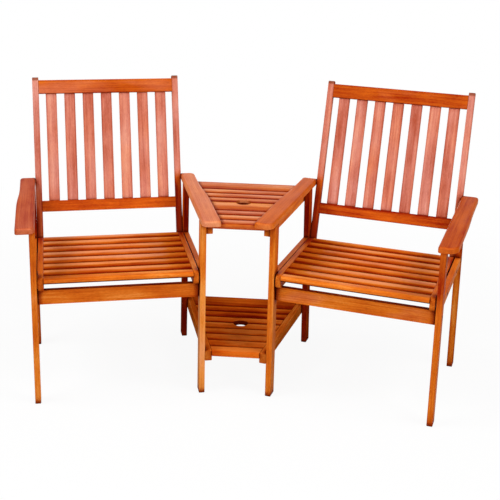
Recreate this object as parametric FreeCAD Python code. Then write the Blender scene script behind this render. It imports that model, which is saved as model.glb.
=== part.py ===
import FreeCAD, Part
import math
import os
from FreeCAD import Vector

# A companion seat: two slatted hardwood armchairs, toed in towards each other,
# joined by a slatted corner table with a shelf under it.
# Each chair is drawn in its own frame: x runs from the table (0) outwards (negative),
# y from the front of the front legs to the back, z up from the floor. All in mm.

# Layout
TOE_IN = 14.7
TABLE_FRONT_HALF = 101.0
CHAIR_WIDTH = 558.0
LEG_THICKNESS = 19.0
FRONT_LEG_DEPTH = 40.0
REAR_LEG_DEPTH = 41.0
REAR_FOOT_FROM_FRONT = 445.0
REAR_LEG_RAKE = 3.6
LEG_HEIGHT = 600.0

# Arms
ARM_THICKNESS = 20.0
ARM_FRONT_OVERHANG = 38.0
ARM_LENGTH = 550.0
ARM_FLARE_FRONT = 41.5
LEFT_OUTER_ARM_REAR = 33.5
LEFT_INNER_ARM_REAR = 31.0
RIGHT_INNER_ARM_REAR = 35.5
RIGHT_OUTER_ARM_REAR = 38.0
ARM_STRAIGHT_TO = 190.0
ARM_NARROW_FROM = 400.0
ARM_ROUND_CORNER = 22.0
ARM_TIGHT_CORNER = 8.0
ARM_WIDE_CORNER = 35.0
ARM_REAR_CORNER = 12.0
LEFT_INNER_ARM_REAR_CORNER = 20.0
RIGHT_OUTER_ARM_SHIFT = 4.5
ARM_NOTCH_PLAY = 1.0
ARM_EDGE_ROUNDING = 7.0
ARM_UNDER_EDGE_ROUNDING = 2.0

# Seat
SEAT_FRONT_HEIGHT = 436.5
SEAT_PITCH = 1.2
FRAME_SIDE_GAP = 3.0
BATTEN_THICKNESS = 18.5
BATTEN_DEPTH = 46.5
BATTEN_FRONT = 3.0
BATTEN_REAR = 419.0
BATTEN_NOSE = 14.0
SLAT_DROP = 1.5
SEAT_SLAT_THICKNESS = 18.0
SEAT_SLAT_WIDTH = 48.6
SEAT_SLAT_GAP = 8.0
SEAT_REAR_SLAT_WIDTH = 40.0
SEAT_MIDDLE_SLATS = 6
FRONT_SLAT_WIDTH = 32.0
FRONT_SLAT_FRONT = -1.0
FRONT_SLAT_NOSE = 9.0
FRONT_SLAT_THROAT = 5.0
SEAT_SLAT_ROUNDING = 4.0
SEAT_TONGUE = 8.0
SEAT_TONGUE_THICKNESS = 9.0
SEAT_TONGUE_SHOULDER = 10.0

# Seat rails
FRONT_RAIL_HEIGHT = 47.5
FRONT_RAIL_SETBACK = 20.0
RAIL_THICKNESS = 18.0
REAR_RAIL_HEIGHT = 47.0
REAR_RAIL_INSET = 4.0
SIDE_RAIL_HEIGHT = 30.0
SIDE_RAIL_DROP = 3.0
SIDE_TENON_LENGTH = 18.0
SIDE_TENON_THICKNESS = 8.0
SIDE_TENON_SHOULDER = 6.0

# Back
BACK_LEAN = 17.6
BACK_SETBACK = 3.0
BACK_TOP_HEIGHT = 961.5
STILE_WIDTH = 22.0
BACK_THICKNESS = 19.5
STILE_TOP_ROUNDING = 6.0
STILE_TOP_ABOVE_RAIL = 10.4
TOP_RAIL_HEIGHT = 48.0
BOTTOM_RAIL_HEIGHT = 39.0
BACK_SLAT_LENGTH = 381.5
BACK_SLAT_WIDTH = 38.0
BACK_SLAT_PITCH = 65.0
BACK_SLAT_THICKNESS = 12.0
BACK_SLAT_HOUSING = 10.0
BACK_SLATS = 7
BACK_TENON_LENGTH = 12.0
BACK_TENON_THICKNESS = 9.0
BACK_TENON_SHOULDER = 6.0

# Table
TABLE_FRONT_Y = 7.0
BOARD_THICKNESS = 19.0
BOARD_GAP = 5.5
TOP_SLAT_WIDTH = 41.8
TOP_HOLE_BOARD_WIDTH = 84.5
TOP_REAR_BOARD_WIDTH = 79.0
TOP_FRONT_SLATS = 3
TOP_BACK_SLATS = 2
TABLE_BATTEN_WIDTH = 22.0
TABLE_BATTEN_HEIGHT = 20.0
TABLE_BATTEN_FRONT = 10.0
BOARD_END_GAP = 0.5
PARASOL_HOLE_RADIUS = 26.5

# Shelf
SHELF_TOP_HEIGHT = 153.0
SHELF_SLAT_WIDTH = 41.8
SHELF_REAR_BOARD_WIDTH = 79.0
SHELF_FRONT_SLATS = 4
SHELF_BACK_SLATS = 2
SHELF_RAIL_WIDTH = 23.0
SHELF_RAIL_HEIGHT = 35.0
SHELF_TONGUE = 8.0
SHELF_TONGUE_THICKNESS = 9.0
SHELF_TONGUE_SHOULDER = 9.0

# Edges and fits
EDGE_ROUNDING = 2.0
BOARD_ROUNDING = 3.0
FOOT_CHAMFER = 1.5
RAIL_END_ROUNDING = 4.0
JOINT_PLAY = 0.2
TENON_END_PLAY = 1.0

# Hardware
DOWEL_DIAMETER = 8.0
DOWEL_LENGTH = 34.0
DOWEL_DEPTH_IN_ARM = 13.0
DOWEL_SPACING = 18.0
DOWEL_PLAY = 0.15
BOLT_DIAMETER = 6.0
BOLT_HEAD_DIAMETER = 14.0
BOLT_HEAD_HEIGHT = 3.5
BOLT_IN_RAIL = 34.0
BOLT_RECESS = 5.5
BOLT_RECESS_DIAMETER = 16.0
BARREL_NUT_DIAMETER = 10.0
BARREL_NUT_INSET = 26.0
SLEEVE_DIAMETER = 14.0
COACH_SCREW_IN_BATTEN = 13.0
COACH_SCREW_IN_STILE = 17.0
COACH_BATTEN_PLACES = (110.0, 330.0)
COACH_STILE_RISE = 22.0
COACH_SCREW_DROP = 21.0
SCREW_DIAMETER = 4.5
SCREW_HEAD_DIAMETER = 9.0
SCREW_HEAD_HEIGHT = 2.6
SCREW_TIP = 4.0
CLEAT_SCREW_LENGTH = 38.0
BOARD_SCREW_LENGTH = 34.0
CLEAT_SCREW_OFFSET = 9.5
SHELF_SCREW_DROP = 24.0
HARDWARE_PLAY = 0.1

# Derived places
X_AXIS = Vector(1, 0, 0)
Y_AXIS = Vector(0, 1, 0)
Z_AXIS = Vector(0, 0, 1)
TOE = math.radians(TOE_IN)
RAKE_SLOPE = math.tan(math.radians(REAR_LEG_RAKE))
PITCH_SLOPE = math.tan(math.radians(SEAT_PITCH))
LEAN_SLOPE = math.tan(math.radians(BACK_LEAN))
CHAIR_MIDDLE = -CHAIR_WIDTH / 2
LEG_INNER_FACE = -LEG_THICKNESS
SEAT_FRAME_FACE = LEG_INNER_FACE - FRAME_SIDE_GAP
BATTEN_INNER_FACE = SEAT_FRAME_FACE - BATTEN_THICKNESS
STILE_INNER_FACE = LEG_INNER_FACE - STILE_WIDTH
FRONT_RAIL_BACK = FRONT_RAIL_SETBACK + RAIL_THICKNESS
BATTEN_UNDERSIDE = BATTEN_DEPTH / math.cos(math.radians(SEAT_PITCH))
TABLE_TOP_HEIGHT = LEG_HEIGHT
RAIL_TOP = SEAT_FRONT_HEIGHT - BATTEN_UNDERSIDE - FRONT_RAIL_BACK * PITCH_SLOPE


def rear_leg_front(z):
    return REAR_FOOT_FROM_FRONT - z * RAKE_SLOPE


def seat_line(y):
    """Height of the top of the seat battens."""
    return SEAT_FRONT_HEIGHT - y * PITCH_SLOPE


# Shape helpers
def block(x0, x1, y0, y1, z0, z1):
    return Part.makeBox(abs(x1 - x0), y1 - y0, z1 - z0, Vector(min(x0, x1), y0, z0))


def prism(points, direction):
    """A closed outline of points, pushed along a direction."""
    return Part.Face(Part.makePolygon(points + points[:1])).extrude(direction)


def side_prism(outline, x0, x1):
    """An outline in y and z, pushed from x0 to x1."""
    points = [Vector(x0, y, z) for y, z in outline]
    return prism(points, Vector(x1 - x0, 0, 0))


def straight_edges(solid, direction):
    """The straight edges of a solid that lie along a direction."""
    found = []
    for edge in solid.Edges:
        if edge.Curve.TypeId == "Part::GeomLine":
            along = edge.tangentAt(edge.FirstParameter)
            if along.cross(direction).Length < 1e-4:
                found.append(edge)
    return found


def soften(solid, direction, radius=EDGE_ROUNDING):
    return solid.makeFillet(radius, straight_edges(solid, direction))


def round_corner(solid, direction, x, y, radius):
    """Round the one edge along a direction that stands at x and y."""
    for edge in straight_edges(solid, direction):
        middle = edge.CenterOfMass
        if abs(middle.x - x) < 0.01 and abs(middle.y - y) < 0.01:
            return solid.makeFillet(radius, [edge])
    raise ValueError("no corner at %.1f, %.1f" % (x, y))


def rod(start, direction, length, diameter):
    return Part.makeCylinder(diameter / 2, length, start, direction)


def fused(solids):
    whole = solids[0]
    for solid in solids[1:]:
        whole = whole.fuse(solid)
    return whole.removeSplitter()


def cut(solid, tools):
    for tool in tools:
        solid = solid.cut(tool)
    return solid


def tilted(solid, angle, about):
    """The solid turned about a line along x through the given point."""
    turned = solid.copy()
    turned.rotate(about, X_AXIS, angle)
    return turned


def other_side(solid):
    """The same piece on the outer side of the chair."""
    return solid.mirror(Vector(CHAIR_MIDDLE, 0, 0), X_AXIS)


# Hardware
def dowel(start, direction, play=0.0):
    return rod(start, direction, DOWEL_LENGTH + play, DOWEL_DIAMETER + 2 * play)


def wood_screw(head, direction, length, play=0.0):
    """A countersunk wood screw whose flat head starts at a point."""
    shank = SCREW_DIAMETER / 2 + play
    cap = SCREW_HEAD_DIAMETER / 2 + play
    cone = Part.makeCone(cap, shank, SCREW_HEAD_HEIGHT, head, direction)
    body_end = length - SCREW_TIP
    body = Part.makeCylinder(shank, body_end - SCREW_HEAD_HEIGHT,
                             head + direction * SCREW_HEAD_HEIGHT, direction)
    tip = Part.makeCone(shank, shank / 4, SCREW_TIP, head + direction * body_end, direction)
    return fused([cone, body, tip])


def domed_bolt(face, direction, length):
    """A bolt or coach screw whose low domed head sits in a recess behind a face."""
    seat = face + direction * BOLT_RECESS
    head_radius = BOLT_HEAD_DIAMETER / 2
    dome_radius = (head_radius ** 2 + BOLT_HEAD_HEIGHT ** 2) / (2 * BOLT_HEAD_HEIGHT)
    dome = Part.makeSphere(dome_radius, seat + direction * (dome_radius - BOLT_HEAD_HEIGHT))
    slab = rod(seat - direction * BOLT_HEAD_HEIGHT, direction, BOLT_HEAD_HEIGHT, BOLT_HEAD_DIAMETER)
    return fused([dome.common(slab), rod(seat, direction, length - BOLT_RECESS, BOLT_DIAMETER)])


def bolt_hole(face, direction, length):
    """The hole for a bolt, with the recess for its head."""
    recess = rod(face, direction, BOLT_RECESS, BOLT_RECESS_DIAMETER)
    shank = rod(face, direction, length + HARDWARE_PLAY, BOLT_DIAMETER + 2 * HARDWARE_PLAY)
    return fused([recess, shank])


def sleeve(start, direction):
    """The spacer that holds a seat batten off the leg frame."""
    outside = rod(start, direction, FRAME_SIDE_GAP, SLEEVE_DIAMETER)
    return outside.cut(rod(start, direction, FRAME_SIDE_GAP, BOLT_DIAMETER + 2 * HARDWARE_PLAY))


# Leg frame of the side next to the table
def with_foot(leg):
    """The leg with its foot chamfered all round, so that it doesn't splinter."""
    sole = min(leg.Faces, key=lambda face: face.CenterOfMass.z)
    return leg.makeChamfer(FOOT_CHAMFER, sole.Edges)


def front_leg():
    leg = soften(block(LEG_INNER_FACE, 0, 0, FRONT_LEG_DEPTH, 0, LEG_HEIGHT), Z_AXIS)
    return with_foot(leg)


def rear_leg():
    foot = rear_leg_front(0)
    top = rear_leg_front(LEG_HEIGHT)
    outline = [(foot, 0), (foot + REAR_LEG_DEPTH, 0), (top + REAR_LEG_DEPTH, LEG_HEIGHT), (top, LEG_HEIGHT)]
    leg = side_prism(outline, LEG_INNER_FACE, 0)
    return with_foot(soften(leg, Vector(0, -RAKE_SLOPE, 1)))


def flare_bend(start, end):
    """Two arcs that lead smoothly from one straight run along y to the next one beside it."""
    halfway = (start + end) / 2
    run = halfway.y - start.y
    fall = start.x - halfway.x
    radius = (run ** 2 + fall ** 2) / (2 * fall)
    half_turn = math.asin(run / radius) / 2
    first = start + Vector(-radius * (1 - math.cos(half_turn)), radius * math.sin(half_turn), 0)
    second = halfway * 2 - first
    return [Part.Arc(start, first, halfway).toShape(), Part.Arc(halfway, second, end).toShape()]


def arm(chair_corner, flare_corner, flare_rear, rear_corner=ARM_REAR_CORNER):
    """A board over both leg tops, straight next to the seat and flared on the other side."""
    front = -ARM_FRONT_OVERHANG
    back = front + ARM_LENGTH
    z = LEG_HEIGHT
    front_in = Vector(LEG_INNER_FACE, front, z)
    front_out = Vector(ARM_FLARE_FRONT, front, z)
    wide_end = Vector(ARM_FLARE_FRONT, ARM_STRAIGHT_TO, z)
    narrow_start = Vector(flare_rear, ARM_NARROW_FROM, z)
    back_out = Vector(flare_rear, back, z)
    back_in = Vector(LEG_INNER_FACE, back, z)
    edges = [Part.makeLine(front_in, front_out), Part.makeLine(front_out, wide_end)]
    edges += flare_bend(wide_end, narrow_start)
    edges += [
        Part.makeLine(narrow_start, back_out),
        Part.makeLine(back_out, back_in),
        Part.makeLine(back_in, front_in),
    ]
    board = Part.Face(Part.Wire(edges)).extrude(Vector(0, 0, ARM_THICKNESS))
    board = round_corner(board, Z_AXIS, LEG_INNER_FACE, front, chair_corner)
    board = round_corner(board, Z_AXIS, ARM_FLARE_FRONT, front, flare_corner)
    board = round_corner(board, Z_AXIS, flare_rear, back, rear_corner)
    top_face = max(board.Faces, key=lambda face: face.CenterOfMass.z)
    board = board.makeFillet(ARM_EDGE_ROUNDING, top_face.Edges)
    under_face = min(board.Faces, key=lambda face: face.CenterOfMass.z)
    return board.makeFillet(ARM_UNDER_EDGE_ROUNDING, under_face.Edges)


def dowel_places():
    """Upright dowels that pin the arm to the leg tops, and one that pins it to the back stile."""
    x = LEG_INNER_FACE / 2
    start = LEG_HEIGHT + DOWEL_DEPTH_IN_ARM - DOWEL_LENGTH
    places = []
    for y in (FRONT_LEG_DEPTH / 2, rear_leg_front(start) + REAR_LEG_DEPTH / 2):
        for offset in (-DOWEL_SPACING / 2, DOWEL_SPACING / 2):
            places.append((Vector(x, y + offset, start), Z_AXIS))
    height = LEG_HEIGHT + ARM_THICKNESS / 2
    arm_end = ARM_LENGTH - ARM_FRONT_OVERHANG
    middle = (back_front(height) + arm_end) / 2
    places.append((Vector(LEG_INNER_FACE - DOWEL_LENGTH / 2, middle, height), X_AXIS))
    return places


def meet_rear_leg(offset, reach):
    """Where a line parallel to the seat meets the front of the rear leg, moved back by reach."""
    lift = SEAT_FRONT_HEIGHT + offset
    y = (REAR_FOOT_FROM_FRONT + reach - lift * RAKE_SLOPE) / (1 - PITCH_SLOPE * RAKE_SLOPE)
    return (y, seat_line(y) + offset)


def side_rail_outline(shoulder, reach):
    """Outline of the side rail, or of its tenons, seen from the side."""
    top = -SIDE_RAIL_DROP - shoulder
    bottom = shoulder - SIDE_RAIL_DROP - SIDE_RAIL_HEIGHT
    front = FRONT_LEG_DEPTH - reach
    return [
        (front, seat_line(front) + top),
        (front, seat_line(front) + bottom),
        meet_rear_leg(bottom, reach),
        meet_rear_leg(top, reach),
    ]


def side_tenons(play=0.0, end_play=0.0):
    """The tongue that runs through the side rail and into both legs."""
    middle = LEG_INNER_FACE / 2
    half = SIDE_TENON_THICKNESS / 2 + play
    outline = side_rail_outline(SIDE_TENON_SHOULDER - play, SIDE_TENON_LENGTH + end_play)
    return side_prism(outline, middle - half, middle + half)


def side_rail():
    body = side_prism(side_rail_outline(0, 0), LEG_INNER_FACE, 0)
    body = soften(body, Vector(0, 1, -PITCH_SLOPE))
    return fused([body, side_tenons()])


# Seat
def seat_tilt(solid):
    return tilted(solid, -SEAT_PITCH, Vector(0, 0, SEAT_FRONT_HEIGHT))


def seat_slat_spans():
    """Front and back edge of each flat slat, from the front."""
    spans = []
    y = FRONT_SLAT_FRONT + FRONT_SLAT_WIDTH + SEAT_SLAT_GAP
    for _ in range(SEAT_MIDDLE_SLATS):
        spans.append((y, y + SEAT_SLAT_WIDTH))
        y += SEAT_SLAT_WIDTH + SEAT_SLAT_GAP
    spans.append((y, y + SEAT_REAR_SLAT_WIDTH))
    return spans


def seat_tongue(span, play=0.0, end_play=0.0):
    """The tongue that runs through a seat slat and into both battens."""
    reach = SEAT_TONGUE + end_play
    inner = BATTEN_INNER_FACE + reach
    outer = 2 * CHAIR_MIDDLE - inner
    middle = SEAT_FRONT_HEIGHT - SLAT_DROP - SEAT_SLAT_THICKNESS / 2
    half = SEAT_TONGUE_THICKNESS / 2 + play
    front = span[0] + SEAT_TONGUE_SHOULDER - play
    back = span[1] - SEAT_TONGUE_SHOULDER + play
    return block(outer, inner, front, back, middle - half, middle + half)


def slat_body(span):
    top = SEAT_FRONT_HEIGHT - SLAT_DROP
    outer = 2 * CHAIR_MIDDLE - BATTEN_INNER_FACE
    return block(outer, BATTEN_INNER_FACE, span[0], span[1], top - SEAT_SLAT_THICKNESS, top)


def seat_slats():
    slats = []
    for span in seat_slat_spans():
        slat = slat_body(span)
        for y in span:
            slat = round_slat_edge(slat, y, True, SEAT_SLAT_ROUNDING)
            slat = round_slat_edge(slat, y, False, EDGE_ROUNDING)
        slats.append(seat_tilt(fused([slat, seat_tongue(span)])))
    return slats


def front_slat_span():
    return (FRONT_SLAT_FRONT, FRONT_SLAT_FRONT + FRONT_SLAT_WIDTH)


def round_slat_edge(slat, y, upper, radius):
    """Round the upper or the lower edge along x that stands at y."""
    edges = [edge for edge in straight_edges(slat, X_AXIS) if abs(edge.CenterOfMass.y - y) < 0.01]
    edges.sort(key=lambda edge: edge.CenterOfMass.z)
    return slat.makeFillet(radius, [edges[-1] if upper else edges[0]])


def front_slat():
    """The front slat, with a round nose over the front rail."""
    span = front_slat_span()
    slat = slat_body(span)
    slat = round_slat_edge(slat, span[0], True, FRONT_SLAT_NOSE)
    slat = round_slat_edge(slat, span[0], False, FRONT_SLAT_THROAT)
    slat = round_slat_edge(slat, span[1], True, EDGE_ROUNDING)
    slat = round_slat_edge(slat, span[1], False, EDGE_ROUNDING)
    return seat_tilt(fused([slat, seat_tongue(span)]))


def seat_batten():
    """A side member of the seat, round at both ends, with a mortise for each slat."""
    top = SEAT_FRONT_HEIGHT
    body = block(BATTEN_INNER_FACE, SEAT_FRAME_FACE, BATTEN_FRONT, BATTEN_REAR, top - BATTEN_DEPTH, top)
    ends = straight_edges(body, X_AXIS)
    front_ends = [edge for edge in ends if edge.CenterOfMass.y < BATTEN_FRONT + 1]
    top_rear = [edge for edge in ends if edge.CenterOfMass.y > BATTEN_REAR - 1 and edge.CenterOfMass.z > top - 1]
    body = body.makeFillet(BATTEN_NOSE, front_ends + top_rear)
    body = body.makeFillet(EDGE_ROUNDING, straight_edges(body, Y_AXIS))
    mortises = []
    for span in [front_slat_span()] + seat_slat_spans():
        mortises.append(seat_tongue(span, JOINT_PLAY, TENON_END_PLAY))
    return seat_tilt(cut(body, mortises))


def cross_rail(y0, y1, height):
    """A rail that butts against the legs of both sides, with its upright edges well rounded."""
    outer = 2 * CHAIR_MIDDLE - LEG_INNER_FACE
    rail = block(outer, LEG_INNER_FACE, y0, y1, RAIL_TOP - height, RAIL_TOP)
    return soften(rail, Z_AXIS, RAIL_END_ROUNDING)


def rear_rail_front():
    return rear_leg_front(RAIL_TOP) + REAR_RAIL_INSET


# Back
def back_front(z):
    """How far back the front face of the back is at a height."""
    return rear_rail_front() + BACK_SETBACK + (z - RAIL_TOP) * LEAN_SLOPE


def lean(solid):
    """From an upright panel, with its front face at y = 0 and its foot at z = 0, onto the rear rail."""
    leaned = tilted(solid, -BACK_LEAN, Vector(0, 0, 0))
    leaned.translate(Vector(0, back_front(RAIL_TOP), RAIL_TOP))
    return leaned


STILE_TOP = (BACK_TOP_HEIGHT - RAIL_TOP) / math.cos(math.radians(BACK_LEAN))
TOP_RAIL_TOP = STILE_TOP - STILE_TOP_ABOVE_RAIL
TOP_RAIL_BOTTOM = TOP_RAIL_TOP - TOP_RAIL_HEIGHT
BOTTOM_RAIL_TOP = TOP_RAIL_BOTTOM - BACK_SLAT_LENGTH
BOTTOM_RAIL_BOTTOM = BOTTOM_RAIL_TOP - BOTTOM_RAIL_HEIGHT


def back_rail_body(bottom, top):
    outer = 2 * CHAIR_MIDDLE - STILE_INNER_FACE
    return block(outer, STILE_INNER_FACE, 0, BACK_THICKNESS, bottom, top)


def back_tenon(bottom, top, play=0.0, end_play=0.0):
    """The tenon that runs through a back rail and into both stiles."""
    reach = BACK_TENON_LENGTH + end_play
    inner = STILE_INNER_FACE + reach
    outer = 2 * CHAIR_MIDDLE - inner
    half = BACK_TENON_THICKNESS / 2 + play
    middle = BACK_THICKNESS / 2
    return block(outer, inner, middle - half, middle + half,
                 bottom + BACK_TENON_SHOULDER - play, top - BACK_TENON_SHOULDER + play)


def back_slat_block(index, play=0.0, end_play=0.0):
    """A back slat with both ends housed in the rails."""
    x = CHAIR_MIDDLE + (index - (BACK_SLATS - 1) / 2) * BACK_SLAT_PITCH
    half = BACK_SLAT_WIDTH / 2 + play
    depth = BACK_SLAT_THICKNESS / 2 + play
    middle = BACK_THICKNESS / 2
    reach = BACK_SLAT_HOUSING + end_play
    return block(x - half, x + half, middle - depth, middle + depth,
                 BOTTOM_RAIL_TOP - reach, TOP_RAIL_BOTTOM + reach)


def back_slats():
    slats = []
    for index in range(BACK_SLATS):
        slats.append(lean(soften(back_slat_block(index), Z_AXIS)))
    return slats


def back_rail(bottom, top):
    rail = soften(back_rail_body(bottom, top), X_AXIS)
    rail = fused([rail, back_tenon(bottom, top)])
    housings = [back_slat_block(index, JOINT_PLAY, TENON_END_PLAY) for index in range(BACK_SLATS)]
    return lean(cut(rail, housings))


def back_stile():
    """A stile that stands on the rear rail, with a rounded top and mortises for both rails."""
    stile = block(STILE_INNER_FACE, LEG_INNER_FACE, 0, BACK_THICKNESS, -BACK_THICKNESS, STILE_TOP)
    ends = [edge for edge in straight_edges(stile, X_AXIS) if edge.CenterOfMass.z > STILE_TOP - 1]
    stile = stile.makeFillet(STILE_TOP_ROUNDING, ends)
    stile = soften(stile, Z_AXIS)
    mortises = [back_tenon(BOTTOM_RAIL_BOTTOM, BOTTOM_RAIL_TOP, JOINT_PLAY, TENON_END_PLAY),
                back_tenon(TOP_RAIL_BOTTOM, TOP_RAIL_TOP, JOINT_PLAY, TENON_END_PLAY)]
    stile = lean(cut(stile, mortises))
    below = block(STILE_INNER_FACE - 1, LEG_INNER_FACE + 1, 0, CHAIR_WIDTH, 0, RAIL_TOP)
    return stile.cut(below)


# Places of the hardware on the side next to the table; heads are on the table side
INWARD = Vector(-1, 0, 0)
BOLT_LENGTH = LEG_THICKNESS + BOLT_IN_RAIL


def rail_bolt_faces():
    front = Vector(0, FRONT_RAIL_SETBACK + RAIL_THICKNESS / 2, RAIL_TOP - FRONT_RAIL_HEIGHT / 2)
    rear = Vector(0, rear_rail_front() + RAIL_THICKNESS / 2, RAIL_TOP - REAR_RAIL_HEIGHT / 2)
    return [front, rear]


def batten_screw_faces():
    return [Vector(0, y, seat_line(y) - COACH_SCREW_DROP) for y in COACH_BATTEN_PLACES]


def stile_screw_face():
    z = RAIL_TOP + COACH_STILE_RISE
    return Vector(0, back_front(z) + BACK_THICKNESS / 2, z)


def barrel_nut_start(bolt_face):
    """The lower end of the nut that lies across a rail, behind its bolt."""
    return bolt_face + Vector(LEG_INNER_FACE - BARREL_NUT_INSET, -RAIL_THICKNESS / 2 + 1, 0)


def barrel_nut(bolt_face, play=0.0):
    start = barrel_nut_start(bolt_face)
    return rod(start, Y_AXIS, RAIL_THICKNESS - 1, BARREL_NUT_DIAMETER + 2 * play)


def sleeve_starts():
    return [face + INWARD * LEG_THICKNESS for face in batten_screw_faces()]


def coach_screw_places():
    """Where each coach screw starts and how long it is, short in a batten and longer in the stile."""
    in_batten = LEG_THICKNESS + FRAME_SIDE_GAP + COACH_SCREW_IN_BATTEN
    places = [(face, in_batten) for face in batten_screw_faces()]
    places.append((stile_screw_face(), LEG_THICKNESS + COACH_SCREW_IN_STILE))
    return places


def hardware_holes():
    """Everything that is drilled in the side frame, the seat and the back on one side."""
    holes = [bolt_hole(face, INWARD, BOLT_LENGTH) for face in rail_bolt_faces()]
    holes += [bolt_hole(face, INWARD, length) for face, length in coach_screw_places()]
    holes += [dowel(start, direction, DOWEL_PLAY) for start, direction in dowel_places()]
    return holes


# Table
def half_width(y, beside_leg):
    """Half the space between the chairs at y, less a distance from each chair's inner face."""
    return TABLE_FRONT_HALF + y * math.tan(TOE) - beside_leg / math.cos(TOE)


def splayed_board(y0, y1, z0, z1, beside_leg):
    """A board across the table whose ends follow the splay of the chairs."""
    near = half_width(y0, beside_leg)
    far = half_width(y1, beside_leg)
    points = [Vector(-near, y0, z0), Vector(near, y0, z0), Vector(far, y1, z0), Vector(-far, y1, z0)]
    return prism(points, Vector(0, 0, z1 - z0))


def top_board(span):
    z = TABLE_TOP_HEIGHT
    board = splayed_board(span[0], span[1], z - BOARD_THICKNESS, z, BOARD_END_GAP)
    return soften(board, X_AXIS, BOARD_ROUNDING)


def shelf_tongue(span, play=0.0, end_play=0.0):
    """The tongue that runs through a shelf board and into both shelf rails."""
    middle = SHELF_TOP_HEIGHT - BOARD_THICKNESS / 2
    half = SHELF_TONGUE_THICKNESS / 2 + play
    front = span[0] + SHELF_TONGUE_SHOULDER - play
    back = span[1] - SHELF_TONGUE_SHOULDER + play
    return splayed_board(front, back, middle - half, middle + half, SHELF_RAIL_WIDTH - SHELF_TONGUE - end_play)


def shelf_board(span):
    """A shelf board, tongued into both shelf rails."""
    z = SHELF_TOP_HEIGHT
    board = splayed_board(span[0], span[1], z - BOARD_THICKNESS, z, SHELF_RAIL_WIDTH)
    return fused([soften(board, X_AXIS, BOARD_ROUNDING), shelf_tongue(span)])


def run_of_boards(front, widths):
    """Front and back edge of boards laid one behind the other with the board gap."""
    spans = []
    y = front
    for width in widths:
        spans.append((y, y + width))
        y += width + BOARD_GAP
    return spans


TOP_SPANS = run_of_boards(TABLE_FRONT_Y, [TOP_SLAT_WIDTH] * TOP_FRONT_SLATS + [TOP_HOLE_BOARD_WIDTH]
                          + [TOP_SLAT_WIDTH] * (1 + TOP_BACK_SLATS) + [TOP_REAR_BOARD_WIDTH])
HOLE_Y = TOP_SPANS[TOP_FRONT_SLATS][1] + BOARD_GAP / 2
SHELF_FRONT_Y = HOLE_Y + BOARD_GAP / 2 - (SHELF_FRONT_SLATS + 1) * (SHELF_SLAT_WIDTH + BOARD_GAP)
SHELF_SPANS = run_of_boards(SHELF_FRONT_Y, [SHELF_SLAT_WIDTH] * (SHELF_FRONT_SLATS + 2 + SHELF_BACK_SLATS)
                            + [SHELF_REAR_BOARD_WIDTH])


def parasol_hole(top):
    start = Vector(0, HOLE_Y, top - BOARD_THICKNESS)
    return rod(start, Z_AXIS, BOARD_THICKNESS, 2 * PARASOL_HOLE_RADIUS)


def table_batten():
    """The batten under the top, in the frame of the chair beside it."""
    top = TABLE_TOP_HEIGHT - BOARD_THICKNESS
    bottom = top - TABLE_BATTEN_HEIGHT
    rear = rear_leg_front(top) + REAR_LEG_DEPTH
    return soften(block(0, TABLE_BATTEN_WIDTH, TABLE_BATTEN_FRONT, rear, bottom, top), Y_AXIS)


def shelf_rail():
    """The rail at the end of the shelf boards, flush with them, in the frame of the chair."""
    top = SHELF_TOP_HEIGHT
    rear = rear_leg_front(top) + REAR_LEG_DEPTH
    rail = soften(block(0, SHELF_RAIL_WIDTH, 0, rear, top - SHELF_RAIL_HEIGHT, top), Y_AXIS)
    return cut(rail, [into_chair(shelf_tongue(span, JOINT_PLAY, TENON_END_PLAY)) for span in SHELF_SPANS])


def board_screw_heads():
    """Heads of the screws that come up through the batten, one for each board of the top."""
    x = TABLE_BATTEN_WIDTH / 2
    z = TABLE_TOP_HEIGHT - BOARD_THICKNESS - TABLE_BATTEN_HEIGHT
    heads = []
    for front, back in TOP_SPANS:
        y = ((front + back) / 2 - x * math.sin(TOE)) / math.cos(TOE)
        heads.append(Vector(x, y, z))
    return heads


def cleat_screw_heads():
    """Heads of the screws that hold the batten and the shelf rail to the legs."""
    batten_z = TABLE_TOP_HEIGHT - BOARD_THICKNESS - TABLE_BATTEN_HEIGHT / 2
    shelf_z = SHELF_TOP_HEIGHT - SHELF_SCREW_DROP
    heads = []
    # beside the first and the last board screw, so that they don't meet
    for board_screw in (board_screw_heads()[0], board_screw_heads()[-1]):
        heads.append(Vector(TABLE_BATTEN_WIDTH, board_screw.y - CLEAT_SCREW_OFFSET, batten_z))
    for y in (FRONT_LEG_DEPTH / 2, rear_leg_front(shelf_z) + REAR_LEG_DEPTH / 2):
        heads.append(Vector(SHELF_RAIL_WIDTH, y, shelf_z))
    return heads


# Assembly
def beside_table(solid):
    """From a chair's own frame to the left-hand place beside the table."""
    placed = solid.copy()
    placed.rotate(Vector(0, 0, 0), Z_AXIS, TOE_IN)
    placed.translate(Vector(-TABLE_FRONT_HALF, 0, 0))
    return placed


def into_chair(solid):
    """From the left-hand place beside the table to a chair's own frame."""
    placed = solid.copy()
    placed.translate(Vector(TABLE_FRONT_HALF, 0, 0))
    placed.rotate(Vector(0, 0, 0), Z_AXIS, -TOE_IN)
    return placed


def to_the_right(solid):
    return solid.mirror(Vector(0, 0, 0), X_AXIS)


def left_inner_arm():
    board = arm(ARM_ROUND_CORNER, ARM_TIGHT_CORNER, LEFT_INNER_ARM_REAR, LEFT_INNER_ARM_REAR_CORNER)
    return cut(board, hardware_holes())


def left_outer_arm():
    board = arm(ARM_ROUND_CORNER, ARM_TIGHT_CORNER, LEFT_OUTER_ARM_REAR)
    return other_side(cut(board, hardware_holes()))


def right_inner_arm():
    board = arm(ARM_ROUND_CORNER, ARM_TIGHT_CORNER, RIGHT_INNER_ARM_REAR)
    return cut(board, hardware_holes())


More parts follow.
